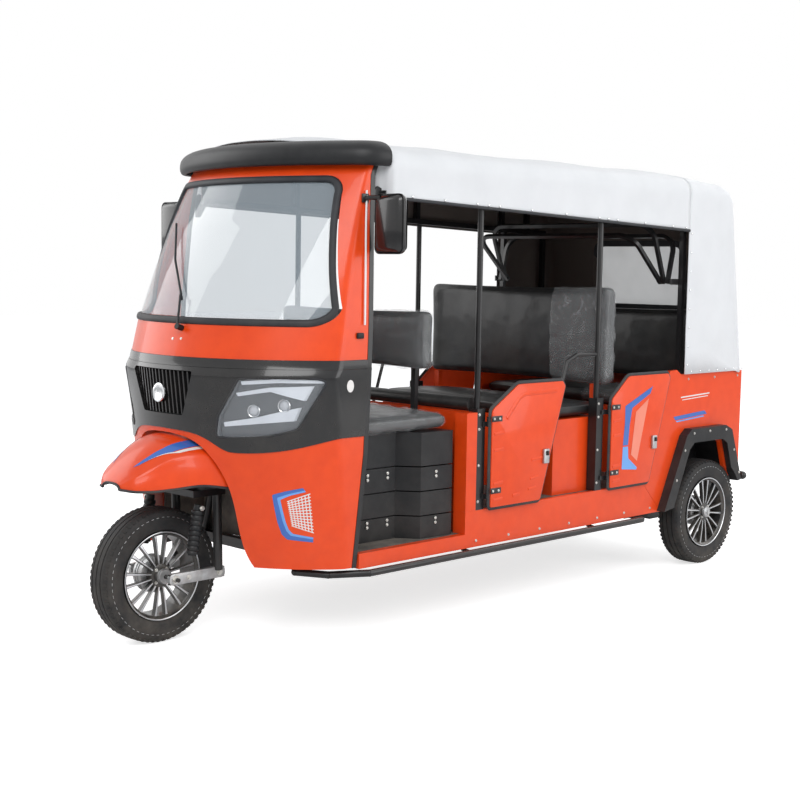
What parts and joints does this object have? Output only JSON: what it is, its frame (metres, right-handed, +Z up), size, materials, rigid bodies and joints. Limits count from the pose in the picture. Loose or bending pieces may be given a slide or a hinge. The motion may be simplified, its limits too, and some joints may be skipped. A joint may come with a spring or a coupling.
{
  "type": "passenger three-wheeler",
  "caption": "Open-sided passenger taxi three-wheeler with a raked windscreen cab, one front wheel on a steering fork, bench seats, low side doors and a white canvas hood.",
  "frame": {"origin": "centre of the overall box at ground level, under the tyres", "axes": "+Y towards the rear along the length, +X to the driver's left, +Z up"},
  "size_m": [1.514, 3.4999, 1.965],
  "materials": {
    "body_paint": "gloss",
    "gloss_black": "gloss",
    "trim_black": "satin",
    "rubber_seal": "matte",
    "tyre_rubber": "matte",
    "alloy": "satin",
    "steel_black": "satin",
    "bare_steel": "satin",
    "glass": "gloss",
    "clear_film": "gloss",
    "lamp_housing": "gloss",
    "lamp_red": "gloss",
    "canvas_white": "matte",
    "seat_vinyl": "satin",
    "floor_mat": "matte"
  },
  "bodies": {
    "chassis": {"frame": "steel_black", "floors": "floor_mat", "cab_shell": "body_paint", "belt_strip": "trim_black", "front_panel": "gloss_black", "headlamps": "lamp_housing", "lower_shell": "body_paint", "cab_edge": "steel_black", "windscreen": "glass", "windscreen_seal": "rubber_seal", "wiper": "trim_black", "visor": "trim_black", "mudguard": "body_paint", "dash": "trim_black", "side_skirts": "body_paint", "rear_quarters": "body_paint", "wheel_flares": "trim_black", "tail_panel": "body_paint", "tail_lamps": "lamp_red", "bumper": "steel_black", "step_tubes": "steel_black", "door_posts": "steel_black", "hood_frame": "steel_black", "canvas_roof": "canvas_white", "canvas_rear": "canvas_white", "rear_window": "clear_film", "mirrors": "trim_black", "driver_box": "trim_black", "driver_cushion": "seat_vinyl", "driver_back": "seat_vinyl", "bulkhead": "body_paint", "bulkhead_rail": "seat_vinyl", "seat_boxes": "body_paint", "row1_cushion": "seat_vinyl", "row1_back": "seat_vinyl", "row2_cushion": "seat_vinyl", "row2_back": "seat_vinyl", "power_unit": "bare_steel", "rear_axle": "steel_black"},
    "fork_body": {"fork": "steel_black", "shocks": "steel_black", "handlebar": "steel_black"},
    "front_wheel": {"front_tyre": "tyre_rubber", "front_rim": "alloy"},
    "rear_wheel_left": {"rear_tyre_left": "tyre_rubber", "rear_rim_left": "alloy"},
    "rear_wheel_right": {"rear_tyre_right": "tyre_rubber", "rear_rim_right": "alloy"},
    "front_door_left_body": {"front_door_left": "body_paint"},
    "front_door_right_body": {"front_door_right": "body_paint"},
    "rear_door_left_body": {"rear_door_left": "body_paint"},
    "rear_door_right_body": {"rear_door_right": "body_paint"}
  },
  "joints": [
    {"name": "steering", "type": "hinge", "parent": "chassis", "child": "fork_body", "pos_m": [0, -1.33, 0.6], "axis": [0, 0.309, 0.9511], "range_deg": [-35, 35]},
    {"name": "front_wheel_spin", "type": "hinge", "parent": "fork_body", "child": "front_wheel", "pos_m": [0, -1.49, 0.26], "axis": [1, 0, 0], "continuous": true},
    {"name": "rear_wheel_left_spin", "type": "hinge", "parent": "chassis", "child": "rear_wheel_left", "pos_m": [0.558, 1.38, 0.26], "axis": [1, 0, 0], "continuous": true},
    {"name": "rear_wheel_right_spin", "type": "hinge", "parent": "chassis", "child": "rear_wheel_right", "pos_m": [-0.558, 1.38, 0.26], "axis": [1, 0, 0], "continuous": true},
    {"name": "front_door_left_hinge", "type": "hinge", "parent": "chassis", "child": "front_door_left_body", "pos_m": [0.612, -0.266, 0.66], "axis": [0, 0, -1], "range_deg": [0, 75]},
    {"name": "front_door_right_hinge", "type": "hinge", "parent": "chassis", "child": "front_door_right_body", "pos_m": [-0.612, -0.266, 0.66], "axis": [0, 0, 1], "range_deg": [0, 75]},
    {"name": "rear_door_left_hinge", "type": "hinge", "parent": "chassis", "child": "rear_door_left_body", "pos_m": [0.612, 0.552, 0.66], "axis": [0, 0, -1], "range_deg": [0, 75]},
    {"name": "rear_door_right_hinge", "type": "hinge", "parent": "chassis", "child": "rear_door_right_body", "pos_m": [-0.612, 0.552, 0.66], "axis": [0, 0, 1], "range_deg": [0, 75]}
  ]
}
